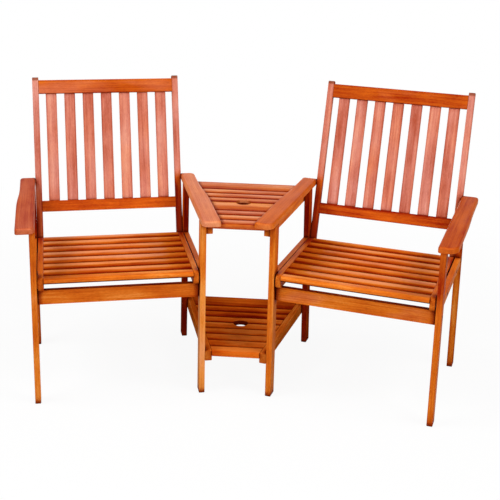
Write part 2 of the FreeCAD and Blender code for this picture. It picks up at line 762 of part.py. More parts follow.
def right_outer_arm():
    """The outer arm of the right chair: further over the seat, so it is notched round the stile."""
    board = arm(ARM_TIGHT_CORNER, ARM_WIDE_CORNER, RIGHT_OUTER_ARM_REAR)
    board.translate(INWARD * RIGHT_OUTER_ARM_SHIFT)
    stile_front = back_front(LEG_HEIGHT) - ARM_NOTCH_PLAY
    notch = block(STILE_INNER_FACE, LEG_INNER_FACE, stile_front, CHAIR_WIDTH, LEG_HEIGHT, LEG_HEIGHT + ARM_THICKNESS)
    return other_side(cut(board, [notch] + hardware_holes()))


def chair_pieces():
    """Every wooden piece of one chair by name, each as a list of solids."""
    holes = hardware_holes()
    outer_holes = [other_side(hole) for hole in holes]
    mortised = {
        "front_leg": cut(front_leg(), [side_tenons(JOINT_PLAY, TENON_END_PLAY)]),
        "rear_leg": cut(rear_leg(), [side_tenons(JOINT_PLAY, TENON_END_PLAY)]),
        "side_rail": side_rail(),
        "seat_batten": seat_batten(),
        "back_stile": back_stile(),
    }
    pieces = {}
    for name, solid in mortised.items():
        inner = cut(solid, holes)
        pieces[name + "_inner"] = [inner]
        pieces[name + "_outer"] = [other_side(inner)]
    nuts = [barrel_nut(face, HARDWARE_PLAY) for face in rail_bolt_faces()]
    nuts += [other_side(nut) for nut in nuts]
    front_rail = cross_rail(FRONT_RAIL_SETBACK, FRONT_RAIL_BACK, FRONT_RAIL_HEIGHT)
    rear_front = rear_rail_front()
    rear_rail = cross_rail(rear_front, rear_front + RAIL_THICKNESS, REAR_RAIL_HEIGHT)
    pieces["front_rail"] = [cut(front_rail, holes + outer_holes + nuts)]
    pieces["rear_rail"] = [cut(rear_rail, holes + outer_holes + nuts)]
    pieces["seat_slats"] = seat_slats()
    pieces["seat_front_slat"] = [front_slat()]
    pieces["back_top_rail"] = [back_rail(TOP_RAIL_BOTTOM, TOP_RAIL_TOP)]
    pieces["back_bottom_rail"] = [back_rail(BOTTOM_RAIL_BOTTOM, BOTTOM_RAIL_TOP)]
    pieces["back_slats"] = back_slats()
    for name in ("front_leg_inner", "rear_leg_inner"):
        pieces[name] = [cut(pieces[name][0], cleat_screws(HARDWARE_PLAY))]
    return pieces


def cleat_screws(play=0.0):
    return [wood_screw(head, INWARD, CLEAT_SCREW_LENGTH, play) for head in cleat_screw_heads()]


def board_screws(play=0.0):
    return [wood_screw(head, Z_AXIS, BOARD_SCREW_LENGTH, play) for head in board_screw_heads()]


def chair_hardware():
    """The fasteners of one chair by name, in the frame of the chair."""
    bolts = [domed_bolt(face, INWARD, BOLT_LENGTH) for face in rail_bolt_faces()]
    coach = [domed_bolt(face, INWARD, length) for face, length in coach_screw_places()]
    nuts = []
    for face in rail_bolt_faces():
        nuts.append(barrel_nut(face).cut(bolt_hole(face, INWARD, BOLT_LENGTH)))
    sleeves = [sleeve(start, INWARD) for start in sleeve_starts()]
    dowels = [dowel(start, direction) for start, direction in dowel_places()]
    inner = {
        "rail_bolts": bolts,
        "barrel_nuts": nuts,
        "coach_screws": coach,
        "spacer_sleeves": sleeves,
        "arm_dowels": dowels,
    }
    both = {name: solids + [other_side(solid) for solid in solids] for name, solids in inner.items()}
    both["cleat_screws"] = cleat_screws()
    both["board_screws"] = board_screws()
    return both


def table_pieces():
    """The boards of the table by name."""
    top = [top_board(span) for span in TOP_SPANS]
    drill = [parasol_hole(TABLE_TOP_HEIGHT)]
    screw_holes = []
    for screw in board_screws(HARDWARE_PLAY):
        hole = beside_table(screw)
        screw_holes += [hole, to_the_right(hole)]
    drilled = [cut(board, screw_holes[2 * index:2 * index + 2]) for index, board in enumerate(top)]
    hole_board = TOP_FRONT_SLATS
    notched = hole_board + 1
    shelf = [shelf_board(span) for span in SHELF_SPANS]
    shelf_drill = [parasol_hole(SHELF_TOP_HEIGHT)]
    before = SHELF_FRONT_SLATS
    after = before + 1
    return {
        "table_top_front_slats": drilled[:hole_board],
        "table_top_hole_board": [cut(drilled[hole_board], drill)],
        "table_top_notched_slat": [cut(drilled[notched], drill)],
        "table_top_back_slats": drilled[notched + 1:-1],
        "table_top_rear_board": drilled[-1:],
        "shelf_front_slats": shelf[:before],
        "shelf_front_notched_slat": [cut(shelf[before], shelf_drill)],
        "shelf_back_notched_slat": [cut(shelf[after], shelf_drill)],
        "shelf_back_slats": shelf[after + 1:-1],
        "shelf_rear_board": shelf[-1:],
    }


def table_carriers():
    """The battens and shelf rails by name, in the frame of the chair beside them."""
    cleat_holes = cleat_screws(HARDWARE_PLAY)
    return {
        "table_batten": cut(table_batten(), cleat_holes + board_screws(HARDWARE_PLAY)),
        "shelf_rail": cut(shelf_rail(), cleat_holes),
    }


def assemble():
    nodes = table_pieces()
    left = chair_pieces()
    right = dict(left)
    # no two arms are quite alike: they differ in their corners and in how far they narrow
    left["arm_inner"] = [left_inner_arm()]
    left["arm_outer"] = [left_outer_arm()]
    right["arm_inner"] = [right_inner_arm()]
    right["arm_outer"] = [right_outer_arm()]
    for name, solids in left.items():
        nodes["left_" + name] = [beside_table(solid) for solid in solids]
    for name, solids in right.items():
        nodes["right_" + name] = [to_the_right(beside_table(solid)) for solid in solids]
    for name, solid in table_carriers().items():
        placed = beside_table(solid)
        nodes["left_" + name] = [placed]
        nodes["right_" + name] = [to_the_right(placed)]
    for name, solids in chair_hardware().items():
        placed = [beside_table(solid) for solid in solids]
        nodes[name] = placed + [to_the_right(solid) for solid in placed]
    return nodes


def main():
    nodes = assemble()
    box = FreeCAD.BoundBox()
    for solids in nodes.values():
        for solid in solids:
            box.add(solid.optimalBoundingBox(False))
    middle = Vector(0, -(box.YMin + box.YMax) / 2, 0)
    os.makedirs("parts", exist_ok=True)
    for name, solids in sorted(nodes.items()):
        for solid in solids:
            solid.translate(middle)
        shape = solids[0] if len(solids) == 1 else Part.makeCompound(solids)
        shape.exportStep(os.path.join("parts", name + ".step"))
    print("%d nodes, %d solids" % (len(nodes), sum(len(solids) for solids in nodes.values())))
    print("size %.1f x %.1f x %.1f" % (box.XLength, box.YLength, box.ZLength))
    print("moved by", tuple(middle))


main()
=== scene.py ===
import math
import random

import bpy
from mathutils import Matrix, Vector


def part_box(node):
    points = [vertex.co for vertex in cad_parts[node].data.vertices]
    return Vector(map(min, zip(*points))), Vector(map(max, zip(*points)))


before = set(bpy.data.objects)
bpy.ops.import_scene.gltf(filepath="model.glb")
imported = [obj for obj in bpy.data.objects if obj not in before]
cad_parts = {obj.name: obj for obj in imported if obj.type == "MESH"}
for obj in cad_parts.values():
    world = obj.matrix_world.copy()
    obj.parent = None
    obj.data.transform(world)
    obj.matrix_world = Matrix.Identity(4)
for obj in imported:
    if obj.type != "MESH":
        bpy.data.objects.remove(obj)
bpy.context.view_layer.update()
scene = bpy.context.scene

# Angles of the chairs
TOE_IN = math.radians(14.7)
BACK_LEAN = math.radians(17.6)
LEG_RAKE = math.radians(3.6)
SEAT_PITCH = math.radians(1.2)

# From one slat to the next in the nodes that hold a row of them, in metres
SEAT_SLAT_STEP = 0.0566
BACK_SLAT_STEP = 0.065
TABLE_SLAT_STEP = 0.0473
BACK_SLATS = 7
# The last slat of a seat is narrower, so the row is placed by its whole depth
SEAT_ROW_DEPTH = 0.3796
SEAT_SLAT_GAP = 0.008

# About the widths of the boards, in metres. Where one is a little more than the real width, the board's
# dark rims stay narrow.
FRONT_LEG_WIDTH = 0.026
REAR_LEG_WIDTH = 0.024
ARM_WIDTH = 0.075
SIDE_RAIL_WIDTH = 0.038
SEAT_BATTEN_WIDTH = 0.022
STILE_WIDTH = 0.026
SEAT_RAIL_WIDTH = 0.056
TOP_RAIL_WIDTH = 0.056
BOTTOM_RAIL_WIDTH = 0.046
FRONT_SLAT_WIDTH = 0.040
SEAT_SLAT_WIDTH = 0.048
BACK_SLAT_WIDTH = 0.040
TABLE_BATTEN_WIDTH = 0.024
SHELF_RAIL_WIDTH = 0.040
TABLE_SLAT_WIDTH = 0.043
HOLE_BOARD_WIDTH = 0.088
REAR_BOARD_WIDTH = 0.082
DOWEL_WIDTH = 0.012

# How far down from its top a back stile is dark, in metres
STILE_TIP = 0.013

# Light that comes from all round, as a share of white
AMBIENT = 0.18

# Directions
ACROSS = Vector((1, 0, 0))
BACKWARDS = Vector((0, 1, 0))
UP = Vector((0, 0, 1))

# Each node, or row of boards, draws one number that sets its figure
SEED_RANGE = (1.0, 500.0)
SEED_STEP = 7.31
rng = random.Random(11)

# The wood's colours by tone, from dark to light, and those of its pinker stretches, which are partly the
# wood's colour and partly painted sheen
OILED = ((0.00, (0.16, 0.004, 0.001)),
         (0.20, (0.32, 0.018, 0.001)),
         (0.35, (0.44, 0.060, 0.004)),
         (0.60, (0.62, 0.120, 0.007)),
         (0.80, (0.74, 0.185, 0.015)),
         (1.00, (0.86, 0.290, 0.050)))
PINKER = ((0.20, (0.45, 0.100, 0.052)),
          (0.60, (0.64, 0.245, 0.195)),
          (1.00, (0.80, 0.420, 0.340)))
WARM_OIL = (1.0, 0.55, 0.25, 1.0)
PORE_OIL = (0.14, 0.016, 0.003, 1.0)
END_GRAIN = (0.12, 0.022, 0.006, 1.0)
DARK_TIP = (0.20, 0.040, 0.010, 1.0)
# Painted shade on sides and ends below a height, as inside the holes
SHADED_LOWER_SIDE = (0.07, 0.004, 0.001, 1.0)
# Painted shade where other boards are near
PAINTED_SHADE = (0.26, 0.020, 0.002, 1.0)

# Oil and painted shade beside a gap: how open the place is where the colour is full and where it starts,
# and the colour
GAP_OIL_AND_SHADE = ((0.72, 0.98, (0.30, 0.022, 0.001, 1.0)),
           (0.45, 0.80, (0.045, 0.002, 0.0005, 1.0)))

# How many metres away another surface still counts, for a board's shade and for its gaps
SHADE_REACH = 0.12
GAP_REACH = 0.022
OPENNESS_SAMPLES = 6

# The noises of the figure: cycles per metre along, across and through the board, detail, roughness
WARP = ((1.6, 9.0, 9.0), 2.0, 0.45)
FIBRE = ((9.0, 420.0, 420.0), 3.0, 0.6)
STREAK = ((2.4, 75.0, 75.0), 3.0, 0.55)
CLOUD = ((7.0, 16.0, 16.0), 3.0, 0.5)
FLECK = ((110.0, 380.0, 380.0), 1.0, 0.5)
PORE = ((55.0, 1300.0, 1300.0), 1.0, 0.5)
# Between these values of its noise a pore begins
PORE_EDGE = (0.62, 0.74)
# The blush is a cloud of its own: how far off it is, and its scale, detail and roughness
BLUSH_OFFSET = (3.1, 8.7, 5.3)
BLUSH = (0.9, 2.0, 0.5)
# How far apart in the noises two boards may lie
NOISE_RANGE = (37.0, 23.0, 29.0)

# The heart of the trunk lies below a board: the ranges of its place and its mean depth, in metres
HEART_ASIDE_RANGE = 0.16
HEART_DEPTH = 0.055
HEART_DEPTH_RANGE = 0.05
# The rings round it
RINGS_PER_METRE = 170.0
RING_WARP = 0.03
RING_SHARPNESS = 1.8

# How far each part of the figure moves the tone
STREAK_SHARE = 0.80
CLOUD_SHARE = 0.85
FIBRE_SHARE = 0.50
FLECK_SHARE = 0.30
RING_SHARE = 0.12
RING_MIDDLE = 0.35
TONE_OFFSET = -0.042
BOARD_SHARE = 0.18

# The part of a normal along an axis: where a surface begins to count as an end, a side or the top, and
# where it does in full
END_FACING = (0.40, 0.85)
SIDE_FACING = (0.60, 0.95)
TOP_FACING = (0.30, 0.85)
# The same for a surface that stops being the underside
OFF_UNDERSIDE = (-0.99, -0.93)

# Shares of a board's half width between which its rims and its fade set in, and how uneven that is
SOFT_RIM = (0.50, 1.05)
HARD_RIM = (0.84, 0.98)
HARD_RIM_SHARE = 0.7
FADE_SPAN = (-1.0, 0.5)
EDGE_UNEVENNESS = 0.25

# Distances over which a shaded end, a dark tip and a shaded side set in, in metres
SHADED_END_SPAN = (-0.05, 0.05)
TIP_SPAN = (-0.002, 0.004)
SHADE_BELOW_SPAN = (-0.002, 0.002)
TIP_STRENGTH = 0.75

# How much a board's own number makes it pinker, and how much less pink its rims and its shaded end are
PINK_RANGE = 0.2
RIM_PINK = 0.2
SHADED_END_PINK = 4.0

# How open a place is where the shade is full and where it starts
SHADE_SPAN = (0.25, 0.85)

# How strong the pores are, and the roughness and the relief of the surface
PORE_STRENGTH = 0.35
ROUGHNESS = 0.42
FIBRE_ROUGHNESS = 0.14
END_ROUGHNESS = 0.25
FIBRE_HEIGHT = 0.35
PORE_DEPTH = 0.8
BUMP_STRENGTH = 0.35
BUMP_DISTANCE = 0.0004

# Gloss of the wood where its node doesn't say otherwise
WOOD_GLOSS = 0.02

# The floor's grey as it lights the object and as it is seen
FLOOR_LIT = (0.35, 0.35, 0.35, 1.0)
FLOOR_SEEN = (0.9, 0.9, 0.9, 1.0)
# The share of plain white in the seen floor rises between these distances from the origin, in metres
FLOOR_WHITE_SPAN = (0.9, 2.4)
FLOOR_WHITE_NEAR = 0.92

# How a board looks, unless its node says otherwise
LOOK = {
    "Figure": 1.0,  # how strong its figure is
    "Pale": -0.1,  # how pink it is, partly the wood's own colour and partly painted sheen on the seats, the table top and the arms
    "Blush": 0.9,  # how much its pinkness varies
    "Tone": 0.66,  # how light it is
    "Rim": 0.16,  # how much painted shade darkens it along its two edges
    "Fade": 0.0,  # how much painted shade darkens it from its +y to its -y edge
    "Root": 0.0,  # how much painted shade darkens it at its -x end
    "Root At": 0.0,  # the x at which half of that is reached
    "Flank": 0.0,  # painted light: how much lighter its sides and ends are, or darker as painted shade where it is negative
    "Shade Below": -1.0,  # the z below which its sides and ends get painted shade
    "End": 0.4,  # how much its end grain darkens
    "Shade": 0.7,  # how much it darkens in the shade of other boards
    "Gap": 1.0,  # how much it darkens beside a gap
    "Warm": 0.0,  # how much redder its oil is
    "Tip At": 9.0,  # the x beyond which its +x tip is dark
}

# Looks that both chairs share
FRONT_LEG = {"shade": 0.5, "root": 0.2, "root_at": -0.12}
REAR_LEG = {"gloss": 0.0, "pale": -0.3}
ARM = {"gloss": 0.03, "rim": 0.08, "end": 0.0, "blush": 0.3, "flank": 0.16, "figure": 0.6}
SIDE_RAIL = {"pale": -0.3}
SEAT_BATTEN = {"pale": -0.2, "end": 0.1, "shade": 0.6, "root": 0.36, "root_at": -0.13}
STILE = {"pale": 0.70, "end": 0.9, "root_at": -0.08}
FRONT_RAIL = {"rim": 0.3, "flank": -0.5, "shade": 0.25}
TOP_RAIL = {"pale": 0.06, "warm": 0.1, "figure": 0.8}
BOTTOM_RAIL = {"rim": 0.26, "warm": 0.3}
FRONT_SLAT = {"pale": 0.0, "blush": 0.5, "tone": 0.88, "fade": 0.2, "warm": 0.1, "end": 0.1,
              "shade_below": -0.004}
SEAT_SLAT = {"gloss": 0.0, "blush": 0.4, "rim": 0.2, "fade": 0.55, "root": 0.26, "root_at": -0.20,
             "gap": 0.8, "warm": 0.2}
BACK_SLAT = {"pale": 0.72, "tone": 0.60}
TABLE_BATTEN = {"tone": 0.80, "end": 0.0, "shade": 0.3}
SHELF_RAIL = {"gloss": 0.0, "pale": -0.3, "tone": 0.84, "shade": 0.5, "warm": 0.3}

# What a piece has of its own, by its chair and by whether it is on the inner side, next to the table; the
# near-black inner rear legs under the seat and the table, the darker outer seat battens under the arms
# and the dark feet of the inner stiles are painted shade
OWN_LOOK = {
    "left": {
        "front_leg_inner": {"tone": 1.10, "pale": -0.04},
        "front_leg_outer": {"tone": 0.86, "pale": -0.2},
        "rear_leg_inner": {"tone": 0.04, "flank": 0.42},
        "rear_leg_outer": {"tone": 0.62, "root": 0.5, "root_at": -0.12},
        "arm_inner": {"tone": 0.70, "pale": 0.44},
        "arm_outer": {"tone": 0.43, "pale": 0.16},
        "seat_batten_inner": {"tone": 0.80},
        "seat_batten_outer": {"tone": 0.58},
        "back_stile_inner": {"tone": 0.54, "root": 0.46, "shade": 0.7},
        "back_stile_outer": {"tone": 0.64, "root": 0.12, "shade": 0.3},
        "front_rail": {"tone": 0.70, "pale": -0.3, "warm": 0.2},
        "back_top_rail": {"tone": 0.50},
        "back_bottom_rail": {"tone": 0.50},
        "seat_slats": {"tone": 1.06, "pale": 0.36},
    },
    "right": {
        "front_leg_inner": {"tone": 0.82, "pale": -0.2},
        "front_leg_outer": {"tone": 0.74, "pale": -0.2},
        "rear_leg_inner": {"tone": 0.04, "flank": 0.42},
        "rear_leg_outer": {"tone": 0.62, "root": 0.3, "root_at": -0.12},
        "arm_inner": {"tone": 0.64, "pale": 0.04},
        "arm_outer": {"tone": 0.43, "pale": 0.04},
        "seat_batten_inner": {"tone": 0.80},
        "seat_batten_outer": {"tone": 0.58},
        "back_stile_inner": {"tone": 0.54, "root": 0.46, "shade": 0.7},
        "back_stile_outer": {"tone": 0.64, "root": 0.12, "shade": 0.3},
        "front_rail": {"tone": 0.86, "pale": 0.05, "warm": 0.05},
        "back_top_rail": {"tone": 0.40},
        "back_bottom_rail": {"tone": 0.40},
        "seat_slats": {"tone": 1.01, "pale": 0.26},
    },
}

# The table top's boards are alike, and the shelf's are darker and redder, most so at the back, as painted
# shade of the table top above
TOP_BOARD = {"gloss": 0.01, "pale": 0.28, "blush": 0.5, "tone": 0.86, "rim": 0.2, "fade": 0.45,
             "shade": 0.3}
SHELF_BOARD = {"gloss": 0.0, "pale": -0.2, "blush": 0.5, "tone": 0.84, "rim": 0.24, "fade": 0.3,
               "shade": 0.6, "warm": 0.5}
SINGLE_BOARDS = (
    ("table_top_hole_board", HOLE_BOARD_WIDTH, dict(TOP_BOARD, pale=0.18, tone=0.82)),
    ("table_top_notched_slat", TABLE_SLAT_WIDTH, dict(TOP_BOARD, flank=0.25, shade_below=-0.001)),
    ("table_top_rear_board", REAR_BOARD_WIDTH, dict(TOP_BOARD, pale=0.4, tone=0.74)),
    ("shelf_front_notched_slat", TABLE_SLAT_WIDTH, dict(SHELF_BOARD, tone=1.04, gap=0.6)),
    ("shelf_back_notched_slat", TABLE_SLAT_WIDTH, dict(SHELF_BOARD, tone=0.96, shade_below=0.007)),
    ("shelf_rear_board", REAR_BOARD_WIDTH, dict(SHELF_BOARD, tone=0.74)),
)
# The shelf's front slats get a painted shadow at their left ends
SHELF_FRONT = dict(SHELF_BOARD, tone=1.10, fade=0.2, gap=0.5, flank=-0.3, root=0.34, root_at=-0.045)
SLAT_ROWS = (
    ("table_top_front_slats", 3, dict(TOP_BOARD, pale=0.46, tone=0.78)),
    ("table_top_back_slats", 2, dict(TOP_BOARD, pale=0.36)),
    ("shelf_front_slats", 4, SHELF_FRONT),
    ("shelf_back_slats", 2, dict(SHELF_BOARD, tone=0.74, fade=0.5)),
)


class Tree:
    """Short calls that add and join the nodes of one node tree."""

    def __init__(self, tree):
        self.tree = tree

    def add(self, kind, **props):
        node = self.tree.nodes.new(kind)
        for key, value in props.items():
            setattr(node, key, value)
        return node

    def join(self, source, target):
        self.tree.links.new(source, target)

    def feed(self, socket, value):
        if isinstance(value, bpy.types.NodeSocket):
            self.join(value, socket)
        else:
            socket.default_value = value

    def math(self, operation, a, b=0.0, c=0.0, clamp=False):
        node = self.add("ShaderNodeMath", operation=operation, use_clamp=clamp)
        for socket, value in zip(node.inputs, (a, b, c)):
            self.feed(socket, value)
        return node.outputs[0]

    def centred(self, value):
        """A value from nought to one, counted from its middle."""
        return self.math("SUBTRACT", value, 0.5)

    def vmath(self, operation, a, b=(0, 0, 0), output="Vector"):
        node = self.add("ShaderNodeVectorMath", operation=operation)
        self.feed(node.inputs[0], a)
        self.feed(node.inputs[1], b)
        return node.outputs[output]

    def split(self, vector):
        node = self.add("ShaderNodeSeparateXYZ")
        self.feed(node.inputs[0], vector)
        return node.outputs[:]

    def span(self, value, low, high, to_low=0.0, to_high=1.0):
        """A soft step from one value to another between low and high."""
        node = self.add("ShaderNodeMapRange", clamp=True, interpolation_type="SMOOTHSTEP")
        for index, item in enumerate((value, low, high, to_low, to_high)):
            self.feed(node.inputs[index], item)
        return node.outputs[0]

    def noise(self, vector, scale, detail, rough):
        node = self.add("ShaderNodeTexNoise")
        self.feed(node.inputs["Vector"], vector)
        self.feed(node.inputs["Scale"], scale)
        self.feed(node.inputs["Detail"], detail)
        self.feed(node.inputs["Roughness"], rough)
        return node.outputs[0]

    def mix(self, factor, a, b, blend="MIX"):
        node = self.add("ShaderNodeMix", data_type="RGBA", blend_type=blend)
        # a Mix node has these sockets for each kind of data, and these are the ones for colours
        self.feed(node.inputs[0], factor)
        self.feed(node.inputs[6], a)
        self.feed(node.inputs[7], b)
        return node.outputs[2]

    def ramp(self, factor, stops):
        node = self.add("ShaderNodeValToRGB")
        elements = node.color_ramp.elements
        while len(elements) < len(stops):
            elements.new(0.5)
        for element, (place, colour) in zip(elements, stops):
            element.position = place
            element.color = (*colour, 1.0)
        self.feed(node.inputs[0], factor)
        return node.outputs[0]

    def openness(self, reach):
        """One in the open, and less where other surfaces lie within reach."""
        node = self.add("ShaderNodeAmbientOcclusion", samples=OPENNESS_SAMPLES, only_local=False)
        node.inputs["Distance"].default_value = reach
        return node.outputs["AO"]

    def object_place(self):
        return self.add("ShaderNodeTexCoord").outputs["Object"]


def growth_rings(t, y, z, own, warp):
    """Rings round a heart that lies outside the board."""
    heart_y = t.math("MULTIPLY", own[0], HEART_ASIDE_RANGE)
    heart_z = t.math("ADD", t.math("MULTIPLY", own[1], HEART_DEPTH_RANGE), HEART_DEPTH)
    across = t.math("POWER", t.math("SUBTRACT", y, heart_y), 2.0)
    through = t.math("POWER", t.math("ADD", z, heart_z), 2.0)
    radius = t.math("SQRT", t.math("ADD", across, through))
    radius = t.math("ADD", radius, t.math("MULTIPLY", warp, RING_WARP))
    return t.math("POWER", t.math("FRACT", t.math("MULTIPLY", radius, RINGS_PER_METRE)), RING_SHARPNESS)


def facing(t, normal):
    """How far a surface is a board's end, its side, and neither its top nor its underside."""
    x, y, z = t.split(normal)
    end = t.span(t.math("ABSOLUTE", x), *END_FACING)
    side = t.span(t.math("ABSOLUTE", y), *SIDE_FACING)
    not_top = t.span(z, *TOP_FACING, 1.0, 0.0)
    not_underside = t.span(z, *OFF_UNDERSIDE)
    return end, side, t.math("MULTIPLY", not_top, not_underside)


def painted_edge_shade(t, y, half_width, cloud, side, look):
    """Painted shade along both edges of a board, and down to its -y edge."""
    uneven = t.math("MULTIPLY", t.centred(cloud), EDGE_UNEVENNESS)
    share = t.math("DIVIDE", y, half_width)
    outward = t.math("ABSOLUTE", share)
    soft_rim = t.span(t.math("ADD", outward, uneven), *SOFT_RIM)
    hard_rim = t.span(outward, *HARD_RIM)
    rim = t.math("MULTIPLY_ADD", hard_rim, HARD_RIM_SHARE, soft_rim)
    rim = t.math("MULTIPLY", rim, look["Rim"])
    rim = t.math("MULTIPLY", rim, t.math("SUBTRACT", 1.0, side))
    fade = t.span(t.math("ADD", share, uneven), *FADE_SPAN, 1.0, 0.0)
    fade = t.math("MULTIPLY", fade, look["Fade"])
    # a side fades half as much as the face
    fade = t.math("MULTIPLY", fade, t.math("MULTIPLY_ADD", side, -0.5, 1.0))
    return soft_rim, rim, fade


def wood_group():
    """Oiled tropical hardwood in a board's own coordinates: x runs along the grain, y across the face."""
    tree = bpy.data.node_groups.new("oiled_hardwood", "ShaderNodeTree")
    for name in ("Board", "Normal"):
        tree.interface.new_socket(name, in_out="INPUT", socket_type="NodeSocketVector")
    for name in ("Seed", "Half Width", *LOOK):
        tree.interface.new_socket(name, in_out="INPUT", socket_type="NodeSocketFloat")
    for name, kind in (("Color", "NodeSocketColor"), ("Roughness", "NodeSocketFloat"),
                       ("Height", "NodeSocketFloat")):
        tree.interface.new_socket(name, in_out="OUTPUT", socket_type=kind)
    t = Tree(tree)
    given = t.add("NodeGroupInput").outputs
    result = t.add("NodeGroupOutput").inputs
    board = given["Board"]
    look = {name: given[name] for name in LOOK}

    # three numbers of the board's own, from minus to plus a half, which also set its place in the noises
    dice = t.add("ShaderNodeTexWhiteNoise", noise_dimensions="1D")
    t.feed(dice.inputs["W"], given["Seed"])
    centred_dice = t.vmath("SUBTRACT", dice.outputs["Color"], (0.5, 0.5, 0.5))
    own = t.split(centred_dice)
    far = t.vmath("MULTIPLY", centred_dice, NOISE_RANGE)

    def stretched(scale):
        return t.vmath("ADD", t.vmath("MULTIPLY", board, scale), far)

    def figure(scale, detail, rough):
        return t.noise(stretched(scale), 1.0, detail, rough)

    # growth rings, fibres, pores and slow changes of colour along the grain
    x, y, z = t.split(board)
    ring = growth_rings(t, y, z, own, t.centred(figure(*WARP)))
    fibre = figure(*FIBRE)
    streak = figure(*STREAK)
    cloud = figure(*CLOUD)
    fleck = figure(*FLECK)
    pore = t.span(figure(*PORE), *PORE_EDGE)
    blush = t.noise(t.vmath("ADD", stretched(CLOUD[0]), BLUSH_OFFSET), *BLUSH)

    tone = t.math("MULTIPLY", t.centred(streak), STREAK_SHARE)
    for noise, share in ((cloud, CLOUD_SHARE), (fibre, FIBRE_SHARE), (fleck, FLECK_SHARE)):
        tone = t.math("ADD", tone, t.math("MULTIPLY", t.centred(noise), share))
    tone = t.math("SUBTRACT", tone, t.math("MULTIPLY", t.math("SUBTRACT", ring, RING_MIDDLE), RING_SHARE))
    tone = t.math("ADD", t.math("MULTIPLY", tone, look["Figure"]), TONE_OFFSET)
    tone = t.math("ADD", tone, t.math("MULTIPLY", own[2], BOARD_SHARE))
    tone = t.math("ADD", tone, look["Tone"])

    # painted shade darkens the edges, the -y side and the -x end
    end, side, steep = facing(t, given["Normal"])
    soft_rim, rim, fade = painted_edge_shade(t, y, given["Half Width"], cloud, side, look)
    root = t.span(t.math("SUBTRACT", x, look["Root At"]), *SHADED_END_SPAN, 1.0, 0.0)
    root = t.math("MULTIPLY", root, look["Root"])
    edge_and_end_shade = t.math("ADD", fade, root)
    tone = t.math("SUBTRACT", t.math("SUBTRACT", tone, rim), edge_and_end_shade)
    # painted light on the sides and ends, or painted shade where the value is negative
    tone = t.math("MULTIPLY_ADD", t.math("MAXIMUM", side, end), look["Flank"], tone)

    # some boards, and some stretches of a board, are pinker, partly the wood's own colour and partly
    # painted sheen, and less so where painted shade darkens them
    pink = t.math("ADD", look["Pale"], t.math("MULTIPLY", t.centred(blush), look["Blush"]))
    pink = t.math("ADD", pink, t.math("MULTIPLY", own[0], PINK_RANGE))
    pink = t.math("SUBTRACT", pink, t.math("MULTIPLY", soft_rim, RIM_PINK))
    pink = t.math("SUBTRACT", pink, t.math("MULTIPLY_ADD", root, SHADED_END_PINK, edge_and_end_shade), clamp=True)
    shaded = t.span(t.openness(SHADE_REACH), *SHADE_SPAN, 1.0, 0.0)
    shaded = t.math("MULTIPLY", shaded, look["Shade"])
    pink = t.math("MULTIPLY", pink, t.math("SUBTRACT", 1.0, shaded))
    colour = t.mix(pink, t.ramp(tone, OILED), t.ramp(tone, PINKER))
    colour = t.mix(look["Warm"], colour, WARM_OIL, blend="MULTIPLY")
    colour = t.mix(t.math("MULTIPLY", pore, PORE_STRENGTH), colour, PORE_OIL)

    # end grain drinks more oil, and so does a dark tip; the sides below a given height get painted shade,
    # as in the holes and under a front slat's nose
    colour = t.mix(t.math("MULTIPLY", end, look["End"]), colour, END_GRAIN)
    tip = t.span(t.math("SUBTRACT", x, look["Tip At"]), *TIP_SPAN, 0.0, TIP_STRENGTH)
    colour = t.mix(tip, colour, DARK_TIP)
    shaded_low = t.span(t.math("SUBTRACT", z, look["Shade Below"]), *SHADE_BELOW_SPAN, 1.0, 0.0)
    colour = t.mix(t.math("MULTIPLY", shaded_low, steep), colour, SHADED_LOWER_SIDE)

    # painted shade darkens the wood where other boards are near, and more in the joints and the gaps
    # between boards, partly as painted shade and partly as oil gathered there
    colour = t.mix(shaded, colour, PAINTED_SHADE)
    nearby = t.openness(GAP_REACH)
    for full, start, gap_colour in GAP_OIL_AND_SHADE:
        gap_darkening = t.math("MULTIPLY", t.span(nearby, full, start, 1.0, 0.0), look["Gap"])
        colour = t.mix(gap_darkening, colour, gap_colour)

    rough = t.math("ADD", ROUGHNESS, t.math("MULTIPLY", fibre, FIBRE_ROUGHNESS))
    rough = t.math("ADD", rough, t.math("MULTIPLY", end, END_ROUGHNESS))
    raised = t.math("MULTIPLY", fibre, FIBRE_HEIGHT)
    height = t.math("SUBTRACT", raised, t.math("MULTIPLY", pore, PORE_DEPTH))
    t.feed(result["Color"], colour)
    t.feed(result["Roughness"], rough)
    t.feed(result["Height"], height)
    return tree


def new_material(name):
    """A node material, the short calls for its tree, and its shader."""
    material = bpy.data.materials.new(name)
    material.use_nodes = True
    return material, Tree(material.node_tree), material.node_tree.nodes["Principled BSDF"]


def own_board(t, place, seed, step, start):
    """In a row of boards, the place counted from the middle of its own board, and that board's seed."""
    x, y, z = t.split(place)
    steps = t.math("DIVIDE", t.math("SUBTRACT", y, start), step)
    board = t.add("ShaderNodeCombineXYZ")
    t.feed(board.inputs[0], x)
    t.feed(board.inputs[1], t.math("MULTIPLY", t.centred(t.math("FRACT", steps)), step))
    t.feed(board.inputs[2], z)
    return board.outputs[0], t.math("MULTIPLY_ADD", t.math("FLOOR", steps), SEED_STEP, seed)


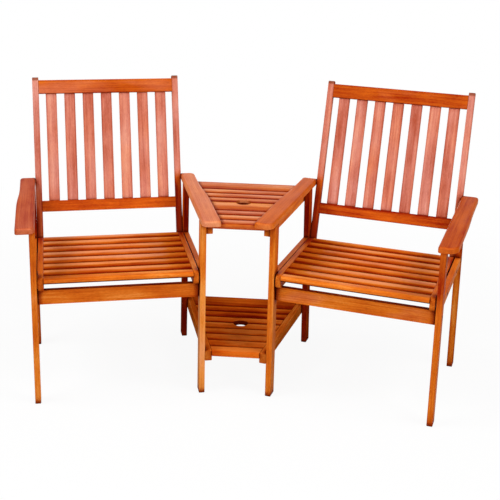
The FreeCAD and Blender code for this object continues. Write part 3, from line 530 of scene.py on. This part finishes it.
def wood(name, centre, turn, half_width, step, start, gloss, look):
    """Wood for one board, or for a row of them that begins at start and repeats at each step."""
    material, t, surface = new_material("wood_" + name)
    local = t.add("ShaderNodeMapping", vector_type="TEXTURE")
    t.feed(local.inputs["Vector"], t.object_place())
    local.inputs["Location"].default_value = centre
    local.inputs["Rotation"].default_value = turn
    place = local.outputs[0]
    normal = t.add("ShaderNodeMapping", vector_type="TEXTURE")
    t.feed(normal.inputs["Vector"], t.add("ShaderNodeNewGeometry").outputs["Normal"])
    normal.inputs["Rotation"].default_value = turn
    seed = rng.uniform(*SEED_RANGE)
    if step:
        place, seed = own_board(t, place, seed, step, start)
    grain = t.add("ShaderNodeGroup")
    grain.node_tree = WOOD
    t.feed(grain.inputs["Board"], place)
    t.feed(grain.inputs["Normal"], normal.outputs[0])
    t.feed(grain.inputs["Seed"], seed)
    t.feed(grain.inputs["Half Width"], half_width)
    for key, value in look.items():
        t.feed(grain.inputs[key], value)
    bump = t.add("ShaderNodeBump")
    bump.inputs["Strength"].default_value = BUMP_STRENGTH
    bump.inputs["Distance"].default_value = BUMP_DISTANCE
    t.feed(bump.inputs["Height"], grain.outputs["Height"])
    t.feed(surface.inputs["Base Color"], grain.outputs["Color"])
    t.feed(surface.inputs["Roughness"], grain.outputs["Roughness"])
    t.feed(surface.inputs["Normal"], bump.outputs[0])
    surface.inputs["Specular IOR Level"].default_value = gloss
    return material


def zinc_steel():
    material, t, surface = new_material("zinc_steel")
    spots = t.noise(t.object_place(), 240.0, 3.0, 0.6)
    greys = ((0.3, (0.42, 0.41, 0.38)), (0.7, (0.62, 0.61, 0.58)))
    t.feed(surface.inputs["Base Color"], t.ramp(spots, greys))
    t.feed(surface.inputs["Roughness"], t.span(spots, 0.3, 0.7, 0.28, 0.5))
    surface.inputs["Metallic"].default_value = 1.0
    return material


def black_nylon():
    material, t, surface = new_material("black_nylon")
    mottle = t.noise(t.object_place(), 600.0, 2.0, 0.5)
    blacks = ((0.3, (0.010, 0.010, 0.010)), (0.7, (0.022, 0.021, 0.020)))
    t.feed(surface.inputs["Base Color"], t.ramp(mottle, blacks))
    t.feed(surface.inputs["Roughness"], t.span(mottle, 0.3, 0.7, 0.5, 0.65))
    return material


def board_axes(along, across):
    """Rotation whose x is along the grain and whose y is across the board."""
    x = along.normalized()
    y = (across - x * across.dot(x)).normalized()
    z = x.cross(y)
    return Matrix((x, y, z)).transposed().to_euler()


def chair_axis(side, x, y, z):
    """A direction in a chair's own frame, x across it, y to its back."""
    angle = TOE_IN if side == "left" else -TOE_IN
    return Matrix.Rotation(angle, 3, "Z") @ Vector((x, y, z))


def dress(node, material):
    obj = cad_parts[node]
    obj.data.materials.clear()
    obj.data.materials.append(material)


def dress_wood(node, along, across, width, step=0.0, start=0.0, gloss=WOOD_GLOSS, **own_look):
    """Wood with its grain along a node; width is that of one board, and the look is as in LOOK."""
    low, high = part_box(node)
    centre = (Vector(low) + Vector(high)) / 2
    look = dict(LOOK)
    look.update((key.replace("_", " ").title(), value) for key, value in own_look.items())
    dress(node, wood(node, centre, board_axes(along, across), width / 2, step, start, gloss, look))


def stile_tip(node):
    """The distance along a back stile from its middle to where its dark tip begins."""
    low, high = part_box(node)
    return (high[2] - low[2]) / 2 / math.cos(BACK_LEAN) - STILE_TIP


def dress_chair(side):
    """Wood for one chair and for the table's pieces that are fixed to it, in the order of their seeds."""
    over = chair_axis(side, 1, 0, 0)
    back = chair_axis(side, 0, 1, 0)
    raked = chair_axis(side, 0, -math.sin(LEG_RAKE), math.cos(LEG_RAKE))
    leaned = chair_axis(side, 0, math.sin(BACK_LEAN), math.cos(BACK_LEAN))
    pitched = chair_axis(side, 0, math.cos(SEAT_PITCH), -math.sin(SEAT_PITCH))
    # painted shade darkens the end that other pieces shade: the top of a front or an outer rear leg, the
    # rear of a batten, the foot of a stile and the inner end of a seat slat
    outward = -over if side == "left" else over
    seat_start = -(SEAT_ROW_DEPTH + SEAT_SLAT_GAP) / 2
    back_start = -BACK_SLATS * BACK_SLAT_STEP / 2

    def piece(name, along, across, width, look, step=0.0, start=0.0):
        own_look = OWN_LOOK[side].get(name, {})
        dress_wood(f"{side}_{name}", along, across, width, step, start, **look, **own_look)

    for place in ("inner", "outer"):
        piece(f"front_leg_{place}", -UP, over, FRONT_LEG_WIDTH, FRONT_LEG)
        rear_leg_grain = raked if place == "inner" else -raked
        piece(f"rear_leg_{place}", rear_leg_grain, over, REAR_LEG_WIDTH, REAR_LEG)
        piece(f"arm_{place}", back, over, ARM_WIDTH, ARM)
        piece(f"side_rail_{place}", pitched, UP, SIDE_RAIL_WIDTH, SIDE_RAIL)
        piece(f"seat_batten_{place}", -pitched, over, SEAT_BATTEN_WIDTH, SEAT_BATTEN)
        tip_at = stile_tip(f"{side}_back_stile_{place}")
        piece(f"back_stile_{place}", leaned, over, STILE_WIDTH, dict(STILE, tip_at=tip_at))
    piece("front_rail", over, UP, SEAT_RAIL_WIDTH, FRONT_RAIL)
    piece("rear_rail", over, UP, SEAT_RAIL_WIDTH, {})
    piece("back_top_rail", over, UP, TOP_RAIL_WIDTH, TOP_RAIL)
    piece("back_bottom_rail", over, UP, BOTTOM_RAIL_WIDTH, BOTTOM_RAIL)
    piece("seat_front_slat", over, back, FRONT_SLAT_WIDTH, FRONT_SLAT)
    piece("seat_slats", outward, pitched, SEAT_SLAT_WIDTH, SEAT_SLAT, SEAT_SLAT_STEP, seat_start)
    piece("back_slats", leaned, over, BACK_SLAT_WIDTH, BACK_SLAT, BACK_SLAT_STEP, back_start)
    piece("table_batten", back, over, TABLE_BATTEN_WIDTH, TABLE_BATTEN)
    piece("shelf_rail", back, UP, SHELF_RAIL_WIDTH, SHELF_RAIL)


def seen_directly(t):
    """One for what the camera, gloss and glass see, and nought for the light on the object."""
    path = t.add("ShaderNodeLightPath")
    seen = t.math("MAXIMUM", path.outputs["Is Camera Ray"], path.outputs["Is Glossy Ray"])
    return t.math("MAXIMUM", seen, path.outputs["Is Transmission Ray"])


def floor_material():
    """A pale floor that shows white and still takes the object's shadow."""
    material, t, surface = new_material("pale_floor")
    seen = seen_directly(t)
    t.feed(surface.inputs["Base Color"], t.mix(seen, FLOOR_LIT, FLOOR_SEEN))
    surface.inputs["Roughness"].default_value = 0.9
    surface.inputs["Specular IOR Level"].default_value = 0.0
    glow = t.add("ShaderNodeEmission")
    blend = t.add("ShaderNodeMixShader")
    away = t.vmath("LENGTH", t.object_place(), output="Value")
    white = t.span(away, *FLOOR_WHITE_SPAN, FLOOR_WHITE_NEAR, 1.0)
    t.feed(blend.inputs[0], t.math("MULTIPLY", seen, white))
    t.join(surface.outputs[0], blend.inputs[1])
    t.join(glow.outputs[0], blend.inputs[2])
    t.join(blend.outputs[0], material.node_tree.nodes["Material Output"].inputs["Surface"])
    return material


def softbox(name, place, aim, size, power):
    light = bpy.data.lights.new(name, "AREA")
    light.shape = "RECTANGLE"
    light.size, light.size_y = size
    light.energy = power
    obj = bpy.data.objects.new(name, light)
    obj.location = place
    obj.rotation_euler = (Vector(aim) - Vector(place)).to_track_quat("-Z", "Y").to_euler()
    scene.collection.objects.link(obj)


# Wood, steel and nylon, in the order in which the seeds are drawn
WOOD = wood_group()
STEEL = zinc_steel()
dress_chair("left")
dress_chair("right")
for name, width, look in SINGLE_BOARDS:
    dress_wood(name, ACROSS, BACKWARDS, width, **look)
for name, count, look in SLAT_ROWS:
    row_start = -count * TABLE_SLAT_STEP / 2
    dress_wood(name, ACROSS, BACKWARDS, TABLE_SLAT_WIDTH, TABLE_SLAT_STEP, row_start, **look)
dress_wood("arm_dowels", UP, ACROSS, DOWEL_WIDTH)
for name in ("rail_bolts", "barrel_nuts", "coach_screws", "cleat_screws", "board_screws"):
    dress(name, STEEL)
dress("spacer_sleeves", black_nylon())

# Floor
mesh = bpy.data.meshes.new("floor")
mesh.from_pydata([(-9, -7, 0), (9, -7, 0), (9, 11, 0), (-9, 11, 0)], [], [(0, 1, 2, 3)])
floor = bpy.data.objects.new("floor", mesh)
scene.collection.objects.link(floor)
floor.data.materials.append(floor_material())

# A plain white surround that lights the object only faintly
world = bpy.data.worlds.new("studio")
world.use_nodes = True
scene.world = world
surround = Tree(world.node_tree)
ambient = world.node_tree.nodes["Background"]
ambient.inputs["Color"].default_value = (1.0, 1.0, 1.0, 1.0)
brighter = surround.math("MULTIPLY", seen_directly(surround), 1.0 - AMBIENT)
surround.feed(ambient.inputs["Strength"], surround.math("ADD", AMBIENT, brighter))

softbox("left", place=(-2.0, -0.9, 3.0), aim=(0, -0.1, 0.45), size=(1.6, 1.2), power=62)
softbox("right", place=(2.0, -1.0, 3.0), aim=(0, -0.1, 0.45), size=(1.6, 1.2), power=54)
softbox("front", place=(0.3, -3.3, 0.9), aim=(0, 0, 0.45), size=(2.0, 1.4), power=56)
softbox("back", place=(0.0, 3.2, 0.6), aim=(0, 0, 0.5), size=(2.4, 0.9), power=30)

# The photograph's camera
camera = bpy.data.cameras.new("camera")
camera.sensor_width = 36.0
camera.lens = 74.27
camera.shift_x = 0.03373
camera.shift_y = -0.13224
viewer = bpy.data.objects.new("camera", camera)
viewer.location = (0.21338, -3.29932, 1.68130)
viewer.rotation_euler = (math.radians(73.045), math.radians(-1.1113), math.radians(4.6371))
scene.collection.objects.link(viewer)
scene.camera = viewer
scene.view_settings.view_transform = "Standard"
